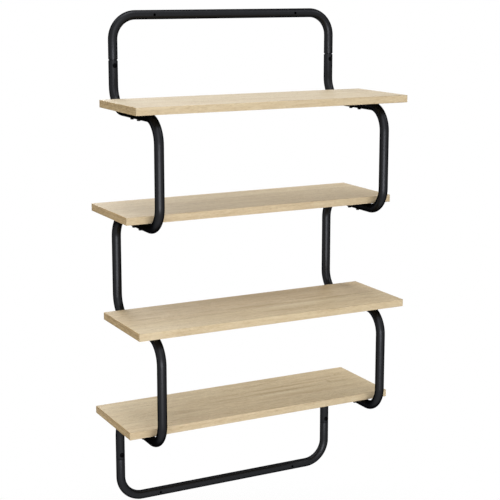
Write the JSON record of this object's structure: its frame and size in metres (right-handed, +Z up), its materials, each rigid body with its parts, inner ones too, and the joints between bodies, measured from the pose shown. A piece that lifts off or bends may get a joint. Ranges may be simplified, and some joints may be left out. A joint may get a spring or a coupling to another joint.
{
  "type": "wall shelving unit",
  "caption": "Wall-hung shelving unit: wood boards, set forward and back in turn, screwed to winding black steel tubes that tube loops join at the top and bottom.",
  "frame": {"origin": "in the wall plane, at the middle of the four wall holes", "axes": "+X to the right along the boards, +Y into the wall, +Z up"},
  "size_m": [0.6, 0.246, 1.039],
  "materials": {
    "tube_black": "semi-matt black powder coat",
    "oak_board": "pale oak face with a matt lacquer",
    "oak_edging": "pale oak edge strip with a matt lacquer",
    "screw_black": "blackened steel",
    "nut_steel": "zinc-plated steel"
  },
  "bodies": {
    "root": {"top_loop": "tube_black", "bottom_loop": "tube_black", "left_side_tube": "tube_black", "right_side_tube": "tube_black", "shelf_1_board": "oak_board", "shelf_2_board": "oak_board", "shelf_3_board": "oak_board", "shelf_4_board": "oak_board", "shelf_1_front_edging": "oak_edging", "shelf_1_back_edging": "oak_edging", "shelf_1_left_edging": "oak_edging", "shelf_1_right_edging": "oak_edging", "shelf_2_front_edging": "oak_edging", "shelf_2_back_edging": "oak_edging", "shelf_2_left_edging": "oak_edging", "shelf_2_right_edging": "oak_edging", "shelf_3_front_edging": "oak_edging", "shelf_3_back_edging": "oak_edging", "shelf_3_left_edging": "oak_edging", "shelf_3_right_edging": "oak_edging", "shelf_4_front_edging": "oak_edging", "shelf_4_back_edging": "oak_edging", "shelf_4_left_edging": "oak_edging", "shelf_4_right_edging": "oak_edging", "shelf_1_screws": "screw_black", "shelf_2_screws": "screw_black", "shelf_3_screws": "screw_black", "shelf_4_screws": "screw_black", "top_joint_screws": "screw_black", "bottom_joint_screws": "screw_black", "top_rivet_nuts": "nut_steel", "bottom_rivet_nuts": "nut_steel"}
  },
  "joints": []
}
